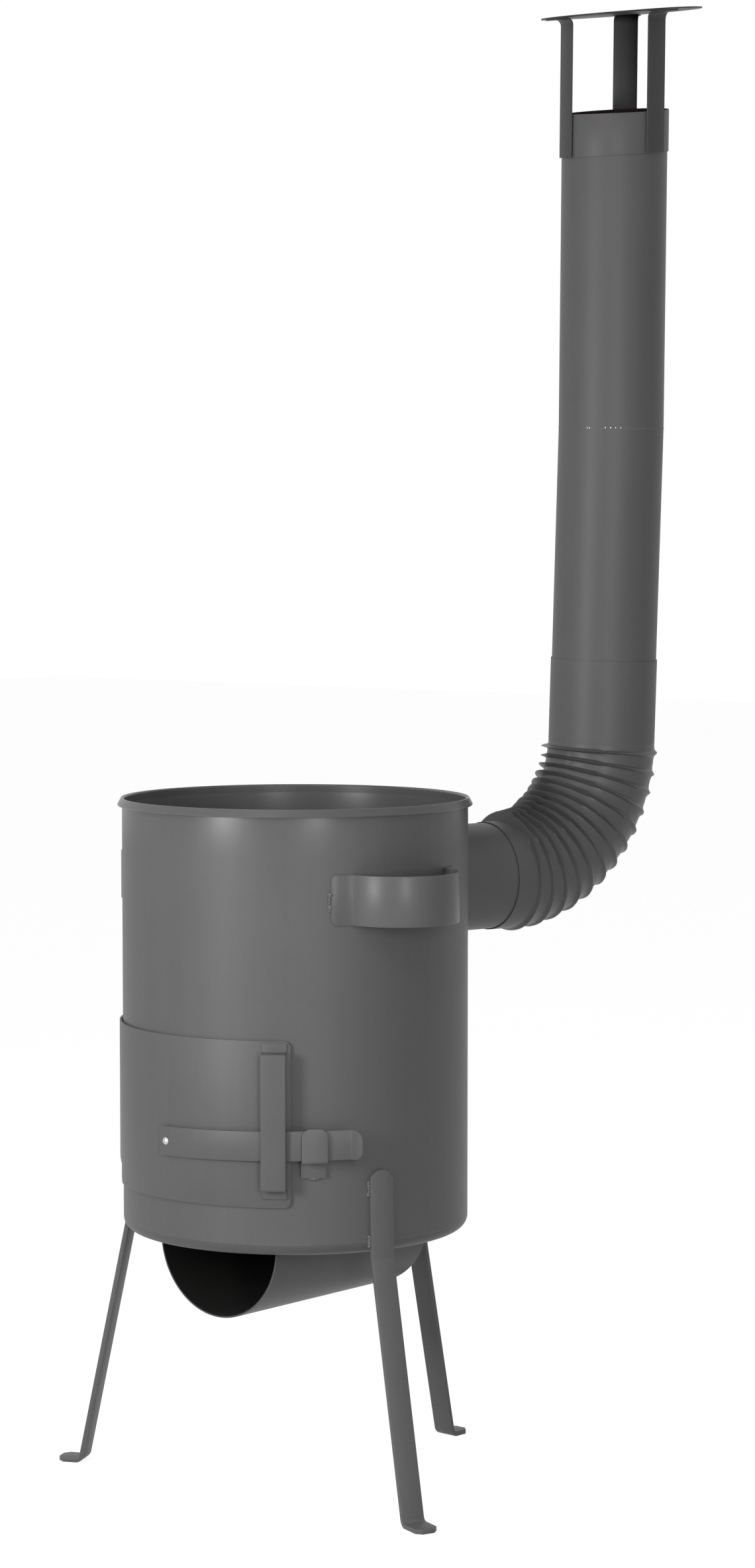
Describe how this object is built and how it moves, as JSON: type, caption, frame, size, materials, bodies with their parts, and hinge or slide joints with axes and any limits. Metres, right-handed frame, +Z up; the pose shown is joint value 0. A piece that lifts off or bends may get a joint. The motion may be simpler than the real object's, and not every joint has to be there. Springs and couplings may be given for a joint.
{
  "type": "cauldron stove",
  "caption": "Open-topped drum stove on strap legs with a latched fire door, ash trough, lift-out grate, side handles, and a pleated elbow that carries a capped flue pipe.",
  "frame": {"origin": "on the floor under the drum's axis", "axes": "+Z up along the drum's axis, -Y the front, where the ash trough opens, +X to the right of the front"},
  "size_m": [0.498, 0.6707, 1.566],
  "materials": {
    "heat_paint": "satin",
    "painted_weld": "rough",
    "grate_steel": "mill scale",
    "zinc": "zinc plated"
  },
  "bodies": {
    "stove": {"drum_wall": "heat_paint", "drum_bottom": "heat_paint", "ash_trough": "heat_paint", "trough_back_plate": "heat_paint", "leg_front_right": "heat_paint", "leg_front_left": "heat_paint", "leg_rear": "heat_paint", "side_handle_right": "heat_paint", "side_handle_left": "heat_paint", "wall_hinge_eyes": "heat_paint", "hinge_pins": "zinc", "latch_catch": "heat_paint", "weld_beads": "painted_weld", "flue_stub": "heat_paint", "stub_weld": "painted_weld"},
    "door": {"door_plate": "heat_paint", "door_handle": "heat_paint", "door_hinge_eyes": "heat_paint", "latch_rivet": "zinc", "latch_washer": "zinc"},
    "latch": {"latch_bar": "heat_paint"},
    "grate": {"fire_grate": "grate_steel"},
    "elbow": {"elbow_inlet_collar": "heat_paint", "elbow_pleated_bend": "heat_paint", "elbow_outlet_collar": "heat_paint"},
    "pipe": {"flue_pipe_lower": "heat_paint", "flue_pipe_upper": "heat_paint", "pipe_weld": "painted_weld"},
    "cap": {"cap_collar": "heat_paint", "cap_strap_front": "heat_paint", "cap_strap_right": "heat_paint", "cap_strap_rear": "heat_paint", "cap_disc": "heat_paint"}
  },
  "joints": [
    {"name": "door_swing", "type": "hinge", "parent": "stove", "child": "door", "pos_m": [-0.16297, -0.08521, 0.402], "axis": [0, 0, -1], "range_deg": [0, 120]},
    {"name": "latch_lift", "type": "hinge", "parent": "door", "child": "latch", "pos_m": [-0.01139, -0.18615, 0.3785], "axis": [-0.061, -0.9981, 0], "range_deg": [0, 14]},
    {"name": "grate_lift", "type": "slide", "parent": "stove", "child": "grate", "axis": [0, 0, 1], "range_m": [0, 0.45]},
    {"name": "elbow_swivel", "type": "hinge", "parent": "stove", "child": "elbow", "pos_m": [0.05961, 0.25821, 0.62], "axis": [0.225, 0.9744, 0], "range_deg": [-90, 90]},
    {"name": "pipe_lift", "type": "slide", "parent": "elbow", "child": "pipe", "axis": [0.04, -0.0092, 0.9992], "range_m": [0, 0.1]},
    {"name": "cap_lift", "type": "slide", "parent": "pipe", "child": "cap", "axis": [0.0245, -0.0206, 0.9995], "range_m": [0, 0.06]}
  ]
}
